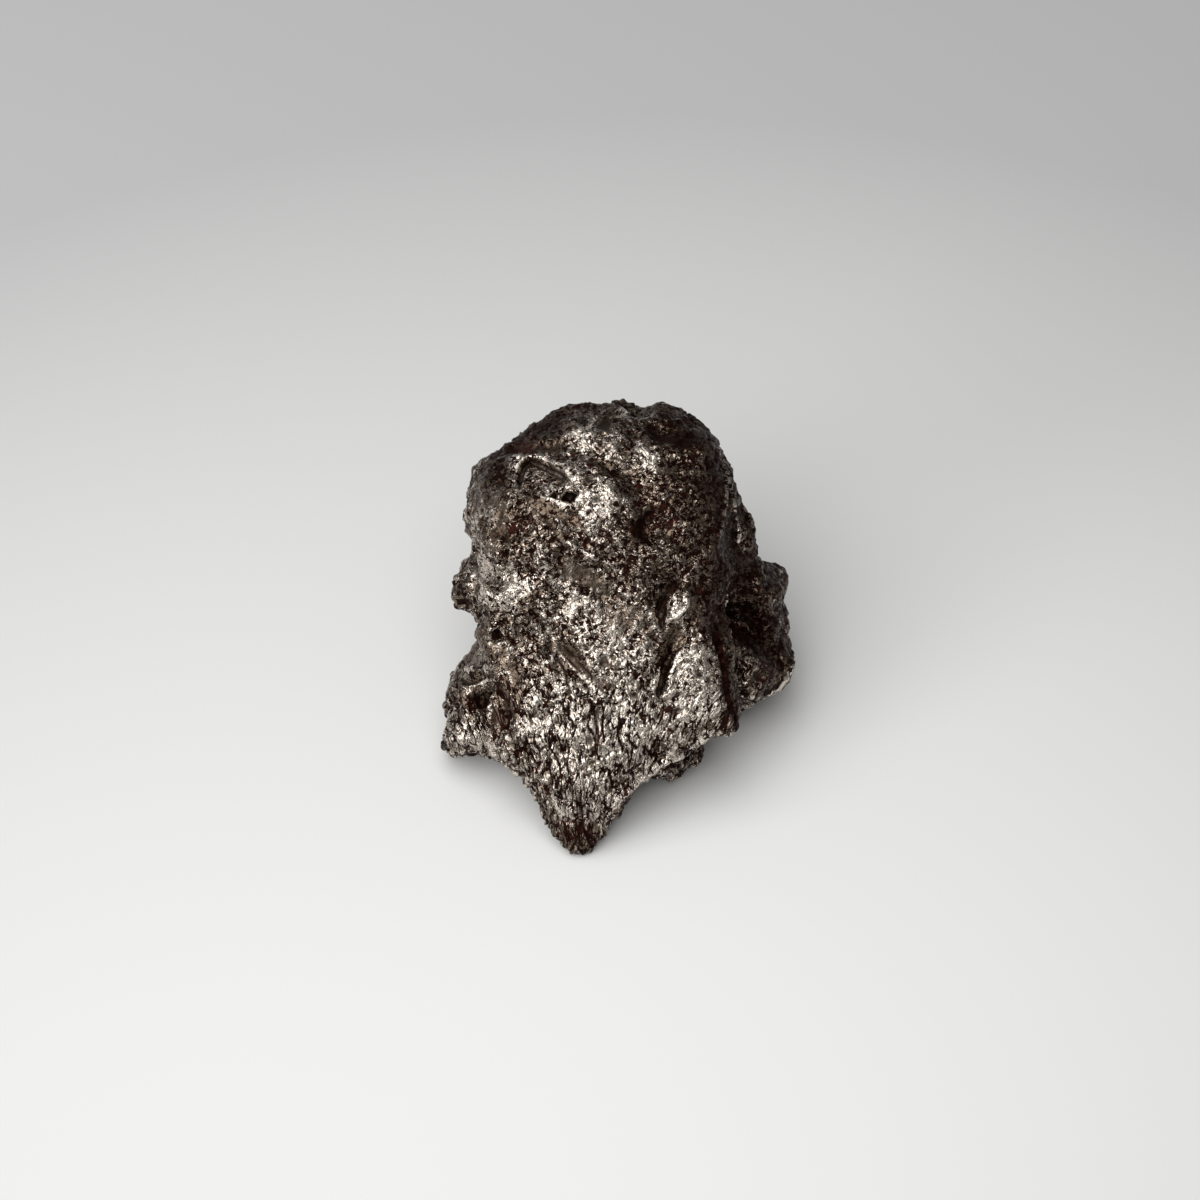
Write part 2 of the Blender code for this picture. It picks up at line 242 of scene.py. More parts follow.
# %% Cut the grooves and raise the ridges
grooves = {
    "curl": (
        [(-10.1, 14.4), (-9.9, 15.5), (-9.6, 16.4), (-9.0, 16.9), (-7.4, 16.2), (-6.4, 15.7),
         (-5.5, 15.0)], 0.25, -0.7,
    ),
    "brow crease": ([(-9.0, 12.5), (-7.9, 11.2), (-6.9, 10.8), (-6.2, 9.3), (-4.8, 7.8)], 0.2, -0.3),
    "crown crease": ([(-12.0, 17.4), (-9.6, 18.3), (-6.8, 18.4), (-5.6, 17.0)], 0.4, -0.3),
    "inner line": ([(-8.3, 14.9), (-7.4, 14.8), (-6.8, 14.2)], 0.16, -0.25),
    "cheek": ([(-11.8, 13.0), (-12.0, 10.6), (-11.2, 8.4)], 0.5, -0.3),
    "ledge crease": ([(-13.2, 5.2), (-12.4, 4.7), (-11.2, 4.9)], 0.25, -0.15),
    "knob neck": ([(-14.6, 7.6), (-14.4, 5.4), (-14.6, 3.2)], 0.3, -0.3),
    "tent line": ([(-8.1, 1.7), (-7.7, 0.6), (-6.9, -0.9), (-6.7, -1.9)], 0.2, -0.25),
    "tent tip": ([(-5.4, 6.0), (-5.2, 4.9)], 0.25, -0.3),
    "fold": ([(-5.9, -1.9), (-4.8, -3.1), (-3.7, -4.2), (-1.5, -6.1)], 0.14, -0.35, 0.45),
    "scratch": ([(-5.9, -2.9), (-5.4, -4.1), (-4.9, -6.1)], 0.15, -0.3),
    "low crack": ([(-3.1, -7.0), (-1.9, -8.6)], 0.15, -0.25),
    "slot line": ([(-2.2, -8.9), (-2.2, -11.4)], 0.2, -0.35),
    "tadpole back": ([(6.1, 5.1), (5.0, 4.3), (4.3, 3.0), (4.1, 1.7), (4.2, 0.9), (4.4, 0.0)], 0.25, -0.75),
    "crack": ([(7.4, 0.3), (7.8, -1.0)], 0.2, -0.3),
    "long groove": ([(4.9, -2.6), (4.4, -4.2), (4.0, -5.8), (3.8, -6.8)], 0.26, -0.45),
    "groove foot": ([(3.7, -7.1), (4.3, -7.0), (5.4, -6.4), (6.6, -6.7)], 0.2, -0.3),
    "edge gap": ([(7.6, -11.9), (6.2, -13.0), (4.7, -14.0)], 0.2, -0.4),
    "lobe crease": ([(-16.2, -4.8), (-15.3, -5.3), (-14.3, -5.0)], 0.22, -0.35),
    "lobe cleft": ([(-15.2, -6.9), (-13.9, -7.2), (-12.8, -8.2), (-12.5, -9.8)], 0.35, -0.35, 0.6),
    "shield side": ([(-11.6, -6.6), (-11.4, -9.4), (-10.6, -12.0)], 0.3, -0.3),
}
ridges = {
    "curl rim": (
        [(-10.2, 16.2), (-9.6, 17.1), (-8.6, 17.5), (-7.0, 16.9), (-5.7, 16.5), (-5.0, 15.5),
         (-4.0, 14.0)], 0.17, 0.38,
    ),
    "hole rim": (
        [(-7.2, 13.2), (-6.5, 12.9), (-5.8, 12.6), (-5.0, 12.3), (-4.2, 12.7), (-4.0, 13.6)], 0.16, 0.5,
    ),
    "hook": ([(-2.3, 21.3), (-2.9, 20.7), (-3.1, 19.9), (-2.6, 19.0)], 0.18, 0.22),
    "brow": ([(-6.7, 9.7), (-4.5, 8.2), (-2.0, 7.0), (-0.5, 6.5)], 0.2, 0.25),
    "temple": ([(-9.2, 12.0), (-8.0, 10.7), (-6.8, 10.3)], 0.2, 0.12),
    "cheek rim": ([(-13.0, 14.4), (-12.0, 12.6), (-10.9, 10.9)], 0.3, 0.14),
    "ledge": ([(-14.1, 5.1), (-13.6, 4.3), (-13.0, 3.6)], 0.2, 0.35),
    "tent left": ([(-5.1, 3.9), (-6.2, 2.9), (-7.4, 2.0)], 0.2, 0.14),
    "tent right": ([(-5.1, 4.1), (-4.0, 3.5), (-2.9, 3.2)], 0.18, 0.25),
    "fold edge": ([(-6.0, -2.4), (-5.0, -3.5), (-3.9, -4.7), (-1.7, -6.5)], 0.15, 0.22),
    "facet edge": ([(6.4, -1.8), (5.6, -3.1), (5.0, -4.3), (4.8, -5.9)], 0.15, 0.25),
    "groove lip": ([(4.1, -3.6), (3.6, -5.2), (3.3, -6.3)], 0.2, 0.35),
    "tadpole belly": ([(6.6, 3.9), (6.7, 2.4), (5.8, 1.4), (4.9, 1.1)], 0.2, 0.35),
    "waist line": ([(-1.0, 6.0), (2.0, 5.7), (5.0, 6.2)], 0.2, 0.12),
    "lower rim": (
        [(9.3, -10.1), (7.7, -11.5), (6.3, -12.5), (3.9, -13.5), (2.0, -15.0), (0.3, -16.6),
         (-1.6, -18.6)], 0.26, 0.4,
    ),
    "lobe line": ([(-15.7, -5.7), (-14.3, -5.5), (-13.4, -5.0), (-12.1, -5.1)], 0.18, 0.18),
    "lobe ridge": ([(13.3, 6.2), (13.9, 4.6), (14.0, 2.6)], 0.16, 0.18),
    "lobe line right": ([(14.9, 2.0), (16.0, 0.4), (16.9, -1.0)], 0.16, 0.3),
    "first fibre": ([(9.9, 17.6), (10.9, 14.4), (11.3, 12.6)], 0.14, 0.38),
    "second fibre": ([(10.6, 16.0), (10.4, 12.6), (9.8, 9.0)], 0.14, 0.38),
    "third fibre": ([(11.2, 12.8), (11.9, 9.8), (11.8, 8.0)], 0.14, 0.38),
    "fourth fibre": ([(12.6, 12.8), (13.4, 9.6)], 0.14, 0.38),
    "lobe shelf": ([(11.4, -1.6), (13.2, -2.2), (14.6, -3.4), (15.4, -5.0)], 0.3, 0.12),
    "lobe lip": ([(17.2, -1.6), (17.3, -3.6), (16.2, -5.6), (14.3, -6.9), (11.9, -6.5)], 0.25, 0.3),
}
cuts = sum(stroke(*mark) for mark in grooves.values())
crests = sum(stroke(*mark) for mark in ridges.values())
print(len(grooves), "grooves and", len(ridges), "ridges")

# %% [markdown]
# ## Pits and holes
#
# The round hole by the end of the curl is the one spot that anyone would miss. Around it are smaller
# pits, and elsewhere a few hollows hold rust. A pit has steep walls and a flat floor, so its height falls
# off as the fourth power of the distance from its middle. A bump is the same thing the other way up. For
# colours we want a softer edge, which falls off as the square.

# %% Press in the pits
PIT_EDGE = 4
SOFT_EDGE = 2


def oval(at, radii, height, turn=0.0, edge=PIT_EDGE):
    """A pit or a bump: a height for every point; turn is in degrees, against the clock."""
    turn = math.radians(turn)
    to_oval = np.array([[math.cos(turn), math.sin(turn)], [-math.sin(turn), math.cos(turn)]])
    away = np.linalg.norm((face - at) @ to_oval.T / radii, axis=1)
    return height * np.exp(-(away**edge))


pits = {
    "round hole": ((-5.0, 13.1), (0.52, 0.52), -0.9),
    "small hole": ((-6.6, 13.5), (0.32, 0.32), -0.9),
    "dimple": ((-4.8, 11.8), (0.32, 0.3), -0.3),
    "crown pit": ((-1.5, 20.7), (0.6, 0.6), -0.45),
    "pit above hole": ((-3.1, 15.2), (0.4, 0.35), -0.35),
    "pit beside hole": ((-2.2, 13.1), (0.4, 0.3), -0.3),
    "dark hollow": ((2.2, 10.0), (0.8, 1.0), -0.3, 10.0),
    "rim hollow": ((-12.0, 14.9), (0.55, 0.5), -0.35),
    "cheek pit": ((-12.7, 9.6), (0.5, 0.5), -0.35),
    "chest pit": ((-1.6, -3.2), (0.5, 0.65), -0.4),
    "swirl pit": ((1.5, -6.6), (0.45, 0.4), -0.35),
    "rust slot": ((-3.1, -11.1), (0.5, 0.6), -0.35),
    "right slot": ((5.55, -8.1), (0.85, 0.25), -0.4, 5.0),
    "square pit": ((-12.35, -0.4), (0.42, 0.42), -0.8),
    "facet pit": ((9.0, -4.8), (0.3, 0.3), -0.4),
    "lobe pit": ((13.9, -4.6), (0.7, 0.5), -0.5, -50.0),
}
bumps = {
    "nodule": ((-10.4, 16.7), (1.0, 0.8), 0.3, 40.0),
    "tadpole": ((5.6, 2.7), (0.8, 1.2), 0.14, -10.0),
    "pit spot": ((-11.9, -1.35), (0.4, 0.2), 0.3),
    "second spot": ((-11.0, -1.85), (0.5, 0.2), 0.3),
    "lobe lump": ((-15.1, -4.0), (0.9, 0.5), 0.18, 15.0),
    "lobe glint": ((-13.4, -4.0), (0.4, 0.6), 0.35),
    "crown lump": ((1.6, 18.4), (0.9, 0.8), 0.15),
}
pressed = sum(oval(*mark) for mark in pits.values())
raised = sum(oval(*mark) for mark in bumps.values())
print(len(pits), "pits and", len(bumps), "bumps")

# %% [markdown]
# ## The crumpled skin
#
# Between those marks the skin is crumpled all over. No single pattern looks torn and melted, so we mix
# five, all from Blender's own noise. Smooth noise makes soft hollows. Ridged noise makes sharp winding
# ridges, like crumpled foil. A cell pattern, `noise.voronoi`, measures each point to a scatter of seeds:
# the distance to the nearest makes dimples with sharp rims, small and large, and the gap between the
# nearest two makes scales with creases between them. All are bent by smooth noise, because a straight cell
# pattern looks like cracked glass.

# %% Make the patterns
SMOOTH_SHIFT = np.array([17.3, 5.1, 9.7])
SEED_SHIFT = np.array([3.7, 11.9, 7.3])
FOIL_SHIFT = np.array([7.1, 2.3, 13.9])


def smooth_noise(points, size, seed):
    """Noise between about -1 and 1, with bumps of the given size."""
    return np.array([noise.noise(Vector(point)) for point in points / size + SMOOTH_SHIFT * seed])


def bent(points, size, amount, seed):
    """The points, pushed about by smooth noise."""
    return points + amount * np.column_stack([smooth_noise(points, size, seed + k) for k in range(3)])


def seed_distances(points, size, seed):
    """How far each point is from its nearest and its second nearest seed of a scatter."""
    found = [noise.voronoi(Vector(point))[0][:2] for point in points / size + SEED_SHIFT * seed]
    return np.array(found).T


def foil(points, size, seed):
    """Sharp winding ridges over soft hollows, between about -1 and 1."""
    fading, finer, layers, lift, sharpness = 0.8, 2.1, 3, 1.0, 2.0
    made = np.array([
        noise.ridged_multi_fractal(Vector(point), fading, finer, layers, lift, sharpness)
        for point in points / size + FOIL_SHIFT * seed
    ])
    return np.clip((made - made.mean()) / (2 * made.std()), -1, 1)


def ramp(values, low, high):
    """0 below low, 1 above high, and a soft slope between."""
    t = np.clip((values - low) / (high - low), 0, 1)
    return t * t * (3 - 2 * t)


print("Five patterns, read at", len(base), "points")

# %% [markdown]
# ## Drawn towards the tip
#
# The molten skin ran down the tapering lower face to its tip. We don't draw that flow. The patterns are
# read at points squeezed together along the way, so they come out stretched. The material reads the same
# squeezed points, so that its grain follows the same flow.

# %% Squeeze the points and read the patterns
FLOW_START = -4.5
FLOW_EASE = 1.5
FLOW_MIDDLE = -3.5
NARROWING = 0.035
STRETCH = 0.3


def drawn_to_tip(points):
    """The points squeezed along the lower face, so that a pattern read there is drawn to the tip."""
    below = FLOW_EASE * np.logaddexp(0, (FLOW_START - points[:, 1]) / FLOW_EASE)
    across = (points[:, 0] - FLOW_MIDDLE) * (1 + NARROWING * below) + FLOW_MIDDLE
    return np.column_stack([across, points[:, 1] + STRETCH * below, points[:, 2]])


DIMPLE_SIZE = 0.8
DENT_SIZE = 2.1
HOLLOW_SIZE = 0.62
FOIL_SIZE = 2.4
SCALE_SIZE = 1.25
CREASE_GAP = 0.25
DIMPLE_LEVEL = 0.5

flow = drawn_to_tip(base)
crooked = bent(flow, 1.4, 0.4, 1)
hammered = seed_distances(crooked, DIMPLE_SIZE, 1)[0] - DIMPLE_LEVEL
dented = seed_distances(bent(base, 2.5, 0.8, 4), DENT_SIZE, 3)[0] - DIMPLE_LEVEL
soft_hollows = ramp(smooth_noise(bent(flow, 0.9, 0.3, 31), HOLLOW_SIZE, 41), 0.0, 0.3)
winding = foil(crooked, FOIL_SIZE, 1)
nearest, second = seed_distances(crooked, SCALE_SIZE, 2)
scales = ramp(second - nearest, 0.0, CREASE_GAP)
print(f"Flat scales: {(scales == 1).mean():.0%} of the net; their creases take the rest")

# %% [markdown]
# ## Calm places
#
# Parts of the face are almost smooth: the band under the brow, the cheek, and the slopes beside the
# grooves. There, and along every mark, the crumpling is held back, so that the marks read clearly.

# %% Find the calm places
calm_ovals = {
    "under the brow": ((-3.6, 5.4), (2.8, 0.9), 1.0, -32.0),
    "middle of the chest": ((0.3, 1.0), (2.0, 1.5), 0.8),
    "under the tent": ((-4.7, 2.3), (1.0, 0.9), 0.8),
    "along the fold": ((-5.3, -2.1), (1.5, 0.7), 0.6, -42.0),
    "below the oval lump": ((5.3, -1.0), (1.0, 1.3), 1.0, -15.0),
    "beside the long groove": ((4.7, -3.6), (0.45, 1.4), 0.8, -20.0),
    "cheek": ((-13.6, 12.1), (1.7, 3.4), 0.65),
    "side of the head": ((11.0, 12.0), (1.4, 5.0), 0.5),
    "top of the left lobe": ((-14.8, -2.4), (1.3, 1.0), 0.8),
    "wall of the left lobe": ((-13.9, -6.2), (1.5, 0.7), 1.0),
}
calm_paths = {
    "brow": ([(-9.6, 13.5), (-8.0, 12.6), (-6.9, 11.9), (-5.1, 11.2), (-3.7, 10.5)], 0.6, 1.1),
    "tail of the oval lump": ([(7.0, 3.3), (7.7, 1.6), (8.6, 0.6)], 0.5, 1.0),
    "left edge of the chest": (
        [(-14.3, 0.9), (-13.7, -0.9), (-12.7, -1.9), (-11.4, -2.9), (-10.6, -4.5), (-10.2, -6.5)], 0.9, 0.9,
    ),
}
CALM_BY_PLACE = 0.8
CALM_BY_CUTS = 2.2
CALM_BY_CRESTS = 1.3

calm = sum(oval(*place) for place in calm_ovals.values())
calm = np.clip(calm + sum(stroke(*place) for place in calm_paths.values()), 0, 1)
calm_by_marks = CALM_BY_CUTS * np.abs(cuts + pressed) + CALM_BY_CRESTS * np.abs(crests + raised)
calm = seen * np.clip(CALM_BY_PLACE * calm + calm_by_marks, 0, 1)
print(f"{(calm > 0.5).mean():.0%} of the skin is calm")

# %% [markdown]
# ## The crumpled relief
#
# Now the patterns are added up, each with its height in millimetres. The scales cover the lower face,
# where the finer patterns fade, and the large dents go everywhere. The photograph doesn't show the sides
# and the back, and such lumps are rougher there, so the relief is almost doubled. The seam beside the
# bright facet is cut last, since the skin inside it is as crumpled as around it.

# %% Add up the relief
LOWER_FACE = (-9.0, -2.0)
FINE_FADE = 0.65
SCALES_ABOVE = 0.1
SCALE_LEVEL = 0.7
CALM_HOLDS = 0.6
ROUGHER_BEHIND = 0.9
PATCHY_MIDDLE, PATCHY_SWING, PATCHY_SIZE = 0.8, 0.35, 3.0
SEAM_WIDTH, SEAM_HEIGHT = 0.26, -0.5
WINDING_HEIGHT, DIMPLE_HEIGHT, HOLLOW_DEPTH, SCALE_HEIGHT, DENT_HEIGHT = 0.13, 0.13, 0.16, 0.28, 0.3

lower = 1 - ramp(face[:, 1], *LOWER_FACE)
fine_relief = WINDING_HEIGHT * winding + DIMPLE_HEIGHT * hammered - HOLLOW_DEPTH * soft_hollows
scaly_relief = SCALE_HEIGHT * (scales - SCALE_LEVEL) * (SCALES_ABOVE + (1 - SCALES_ABOVE) * lower)
crumple = fine_relief * (1 - FINE_FADE * lower) + scaly_relief + DENT_HEIGHT * dented
patchy = PATCHY_MIDDLE + PATCHY_SWING * smooth_noise(base, PATCHY_SIZE, 11)
crumple = crumple * patchy * (1 - CALM_HOLDS * calm) * (1 + ROUGHER_BEHIND * (1 - seen))
seam = [(9.1, 0.1), (10.0, -1.3), (10.3, -3.0), (10.6, -5.1), (10.9, -7.0), (11.4, -8.8)]
crumple = crumple + seen * stroke(seam, SEAM_WIDTH, SEAM_HEIGHT)
print(f"The crumpled skin spans {np.ptp(crumple):.2f} mm")

# %% [markdown]
# ## Pressing it all into the skin
#
# Every height is added up and each point moves along its normal by the sum. Wherever the lump would go
# below the table it is worn flat, which gives it the small spots on which it rests. The material will
# want to know which places are low, because dirt and rust live there and because it paints shade there,
# so the relief is stored on the vertices.

# %% Move the vertices
ROLL_HEIGHT = 0.12
ROLL_SIZE = 2.4

marks = cuts + crests + pressed + raised
roll = ROLL_HEIGHT * smooth_noise(base, ROLL_SIZE, 21)
height = crumple + roll + seen * marks
room = carried(base + normals * height[:, None], face_to_room)
room[:, 2] = np.maximum(room[:, 2], 0.0)
put_points(skin_mesh, room)
skin_mesh.shade_smooth()

flow_layer = skin_mesh.attributes.new("flow", "FLOAT_VECTOR", "POINT")
flow_layer.data.foreach_set("vector", flow.astype(np.float32).ravel())
store(skin_mesh, "relief", np.clip((crumple - crumple.mean()) / (2 * crumple.std()), -1, 1))
store(skin_mesh, "marks", np.clip(seen * marks, -1, 1))
store(skin_mesh, "calm", calm)
store(skin_mesh, "lower", lower)

# %% [markdown]
# ## Polish and crust, with painted highlight and painted shade
#
# On a cleaned iron meteorite the ridges are polished, and a dark crust stays on what is sheltered. These
# maps also carry painted light. The polish map makes places pale where they catch a highlight, such as
# the bright facet. The crust map darkens places that lie in shade, such as the bowl and the right side
# of the head. Paint put on the mesh by hand would be lost with the next change of the net, so both maps
# are written down as sums of soft ovals and of paths on the face. The crust starts at one level all over.
# It is thinner where the metal is polished or highlit. It is thicker on the right side, where it is painted
# shade on what turns away from the light.

# %% Map the polished metal and the crust
def patch(at, radii, strength, turn=0.0):
    """A soft oval for the polish, crust and rust maps; the first two hold painted highlight and shade too.
    """
    return oval(at, radii, strength, turn, SOFT_EDGE)


polish_and_highlight_places = {
    "tent": ((-5.0, 3.0), (5.0, 4.0), 0.3),
    "left of the fold": ((-9.0, -4.0), (3.0, 3.0), 0.3),
    "around the curl": ((-5.0, 14.8), (6.5, 3.6), 0.55, -15.0),
    "under the hook": ((-4.0, 19.2), (1.1, 1.4), 0.6),
    "right of the hook": ((-0.8, 19.0), (1.3, 1.1), 0.8),
    "crown": ((0.5, 21.8), (0.8, 0.5), 1.2),
    "hook": ((-2.9, 20.4), (0.5, 1.2), 1.0),
    "above the fold of the brow": ((2.8, 17.4), (1.4, 1.4), 0.8),
    "right of the round hole": ((-2.0, 13.0), (2.4, 2.6), 0.3),
    "ledge": ((-12.0, 4.4), (2.2, 1.4), 1.7),
    "above the ledge": ((-13.4, 6.0), (0.6, 0.8), 1.2),
    "cheek": ((-13.8, 11.0), (1.4, 3.5), 0.25),
    "chest": ((1.5, -2.0), (5.0, 4.0), 0.4),
    "bright facet": ((7.7, -5.5), (2.4, 4.4), 1.15),
    "lower face": ((-2.0, -10.0), (6.5, 5.5), 0.75),
    "tip": ((-3.5, -18.0), (2.2, 2.4), 0.5),
    "oval lump": ((5.5, 2.5), (1.2, 1.9), 0.6),
    "lip of the left lobe": ((-15.2, -10.6), (2.4, 1.1), 0.8),
    "shelf of the right lobe": ((12.8, -2.6), (1.6, 1.0), 0.7, -30.0),
    "end of the ledge": ((-13.6, 5.6), (0.7, 0.9), 1.0),
}
crust_and_shade_places = {
    "side of the head": ((7.5, 15.5), (4.5, 7.0), 0.45),
    "dark hollow": ((2.4, 10.0), (2.2, 1.6), 0.8),
    "under the cheek": ((-10.2, 10.6), (2.4, 1.3), 0.2),
    "right of the crown": ((6.0, 20.0), (4.0, 2.0), 0.8),
    "right shoulder": ((11.0, 6.0), (5.0, 5.0), 0.65),
    "bowl": ((13.6, 0.4), (4.4, 2.4), 1.4, -35.0),
    "floor of the bowl": ((12.3, 2.6), (1.8, 1.6), 0.8),
    "left of the lower face": ((-10.6, -6.0), (1.2, 4.2), 0.4, 8.0),
    "wall of the left lobe": ((-14.2, -7.2), (1.6, 0.6), 1.3),
    "along the fold": ((-5.3, -2.2), (1.6, 0.7), 0.3, -42.0),
    "below the oval lump": ((5.0, -1.5), (1.0, 1.9), 1.1, -15.0),
    "beside the long groove": ((4.6, -3.9), (0.5, 1.5), 1.0, -20.0),
    "waist": ((-2.5, 5.4), (4.6, 1.4), 0.1, -25.0),
    "end of the tip": ((-4.8, -20.8), (2.8, 1.4), 0.8),
    "knob": ((-15.8, 3.6), (1.2, 1.6), 0.35),
}
crust_and_shade_paths = {
    "left of the crown": ([(-14.0, 14.0), (-12.0, 17.6), (-8.0, 20.0), (-5.0, 21.2)], 1.5, 1.0),
    "above the curl": (
        [(-5.6, 18.6), (-4.2, 17.4), (-1.0, 16.6), (0.4, 14.9), (2.2, 13.3), (3.6, 11.8)], 0.8, 0.3,
    ),
    "seam": ([(9.1, 0.1), (10.0, -1.3), (10.4, -3.0), (10.6, -5.1), (10.9, -7.0), (11.4, -8.8)], 0.38, 1.6),
    "left edge of the chest": ([(-14.3, 0.9), (-12.7, -1.9), (-10.6, -4.5), (-10.2, -6.5)], 0.9, 0.2),
    "brow": ([(-9.6, 13.5), (-8.0, 12.6), (-6.9, 11.9), (-5.1, 11.2), (-3.7, 10.5)], 0.6, 0.85),
    "under the brow": ([(-8.6, 11.6), (-7.0, 10.0), (-5.0, 8.6), (-2.0, 7.8)], 0.6, 0.2),
}
CRUST_LEVEL = 0.4
CRUST_ON_FACE = 0.05
CRUST_BY_PLACE = 0.6
SHADED_SIDE = np.array([0.86, 0.32, -0.4])
SIDE_SHADE = 0.45

# The polish and crust sums paint highlight and shade as well as real polish and crust.
polish_and_highlight = sum(patch(*place) for place in polish_and_highlight_places.values())
crust_and_shade_marks = sum(patch(*place) for place in crust_and_shade_places.values())
crust_and_shade_marks = crust_and_shade_marks + sum(stroke(*place) for place in crust_and_shade_paths.values())
# Painted shade: the side that faces right and away from the light is darkened in the crust map.
painted_side_shade = ramp(normals @ SHADED_SIDE, 0.0, 0.75) * ramp(normals[:, 2], -0.7, -0.2)
on_show = seen * (CRUST_ON_FACE + CRUST_BY_PLACE * (crust_and_shade_marks - polish_and_highlight))
store(skin_mesh, "crust_and_shade", np.clip(CRUST_LEVEL + on_show + SIDE_SHADE * painted_side_shade, 0, 1))

# %% [markdown]
# ## Where rust gathers
#
# Water stays longest in pits and grooves, so that is where the iron rusts. Rust could be put in every low
# place alike, but on the real face some hollows are strongly red-brown and others hardly at all, so the
# rusty ones have a map of their own.

# %% Map the rust
rusty_places = {
    "under the curl": ((-9.4, 10.5), (0.9, 0.6), 1.0),
    "below the cheek": ((-11.0, 10.2), (0.6, 0.9), 0.9),
    "cheek pit": ((-12.7, 9.6), (0.6, 0.6), 0.9),
    "above the curl": ((-9.3, 18.3), (0.9, 0.7), 0.9),
    "left of the crown": ((-4.6, 18.2), (1.2, 0.9), 0.4, -40.0),
    "dark hollow": ((2.2, 10.0), (1.4, 1.2), 0.25),
    "right of the dark hollow": ((5.4, 10.6), (0.7, 0.6), 1.0),
    "above the dark hollow": ((2.6, 13.6), (1.6, 3.0), 0.35, 30.0),
    "tent tip": ((-5.2, 5.4), (0.4, 0.7), 0.9),
    "ledge crease": ((-12.6, 4.9), (0.8, 0.4), 1.0),
    "chest pit": ((-1.6, -3.2), (0.7, 0.8), 0.9),
    "swirl pit": ((1.5, -6.6), (0.7, 0.6), 0.9),
    "foot of the lobe cleft": ((-12.6, -9.3), (0.7, 0.9), 1.3),
    "left of the lower face": ((-11.6, -9.0), (0.8, 5.0), 0.4),
    "slot line": ((-2.2, -10.2), (0.3, 1.4), 1.2),
    "rust slot": ((-3.1, -11.1), (0.7, 0.7), 0.7),
    "right slot": ((5.55, -8.1), (1.1, 0.35), 2.2),
    "long groove": ((4.1, -5.6), (0.35, 1.4), 1.1, -15.0),
    "crack": ((7.6, -0.4), (0.4, 0.8), 0.9),
    "seam": ((10.5, -4.5), (0.6, 4.4), 0.2, 8.0),
    "corner of the facet": ((10.9, -9.2), (0.7, 0.6), 1.0),
    "lower rim": ((0.6, -16.4), (0.5, 1.0), 1.0, -40.0),
    "tip": ((-3.6, -19.6), (2.6, 1.4), 0.5),
    "lobe pit": ((13.9, -4.6), (1.0, 0.6), 0.9, -50.0),
}
rusty_paths = {
    "behind the oval lump": ([(5.0, 4.3), (4.3, 3.0), (4.1, 1.7), (4.2, 0.9)], 0.3, 0.9),
}
rusty = sum(patch(*place) for place in rusty_places.values())
rusty = rusty + sum(stroke(*place) for place in rusty_paths.values())
store(skin_mesh, "rusty", np.clip(seen * rusty, 0, 1))

# %% [markdown]
# ## Shader arithmetic
#
# A material is a tree of nodes, and a long chain of them is hard to read. `Shade` wraps one socket, and
# arithmetic on it adds the Math nodes, so a mask is written as a formula. Any other node comes from
# `node`, which sets the node up first and then fills in its sockets with values or with other shades.

# %% Wrap a socket
class Shade:
    """One socket of a node tree."""

    def __init__(self, tree, socket=None):
        self.tree = tree
        self.socket = socket

    def node(self, kind, settings, values, take=0):
        """Adds a node, sets it up, fills its sockets, and returns one of its outputs."""
        made = self.tree.nodes.new(kind)
        for name, setting in settings.items():
            setattr(made, name, setting)
        for name, value in values.items():
            if isinstance(value, Shade):
                self.tree.links.new(value.socket, made.inputs[name])
            else:
                made.inputs[name].default_value = value
        return Shade(self.tree, made.outputs[take])

    def math(self, operation, first, second=0.0):
        return self.node("ShaderNodeMath", {"operation": operation}, {0: first, 1: second})

    def __add__(self, other):
        return self.math("ADD", self, other)

    __radd__ = __add__

    def __sub__(self, other):
        return self.math("SUBTRACT", self, other)

    def __rsub__(self, other):
        return self.math("SUBTRACT", other, self)

    def __mul__(self, other):
        return self.math("MULTIPLY", self, other)

    __rmul__ = __mul__

    def soft_step(self, low, high):
        """0 below low, 1 above high, and a soft slope between."""
        return self.node(
            "ShaderNodeMapRange", {"interpolation_type": "SMOOTHSTEP"},
            {"Value": self, "From Min": low, "From Max": high},
        )

    def mix(self, first, second):
        """This value picks between two colours: the first at 0, the second at 1."""
        return self.node("ShaderNodeMix", {"data_type": "RGBA"}, {"Factor": self, 6: first, 7: second}, 2)


print("Shades can be added, subtracted, multiplied, stepped and mixed")

# %% [markdown]
# ## What the iron reads
#
# A material can't see our arrays, so it reads what the vertices store: the squeezed points, and the maps
# of relief, marks, calm, lower face, crust with its painted shade, and rust. An image wrapped round the
# lump could hold the maps as well, but it would need seams, and a lump has no good place for a seam.

# %% Read the stored maps
iron = bpy.data.materials.new("meteorite_iron")
iron.use_nodes = True
start = Shade(iron.node_tree)
CALM_SMOOTHS = 0.7


def stored(name, take="Fac"):
    """What the vertices store under this name."""
    return start.node("ShaderNodeAttribute", {"attribute_name": name}, {}, take)


flow_place = stored("flow", "Vector")
relief = stored("relief")
mark = stored("marks")
crust_and_shade = stored("crust_and_shade")
rust_place = stored("rusty")
lower_place = stored("lower")
rough_place = 1 - stored("calm") * CALM_SMOOTHS
print("The iron reads", len(skin_mesh.attributes), "layers of the mesh, the built-in ones among them")

# %% [markdown]
# ## Grain finer than the mesh
#
# The finest wrinkles are a third of a millimetre across, too small for the net. They come from noise,
# read at the squeezed points. One noise pushes the points about, so that what is read there winds. A line
# is drawn where a field passes one value, like a contour on a map.

# %% Lay the noise fields
WINDING_PER_MM = 0.9
WINDING_REACH = (0.6, 0.6, 0.6)


def grain(per_mm, detail, roughness, distortion, at=flow_place):
    """Noise around 0.5, with this many bumps to the millimetre."""
    return start.node(
        "ShaderNodeTexNoise", {},
        {"Vector": at, "Scale": per_mm, "Detail": detail, "Roughness": roughness, "Distortion": distortion},
    )


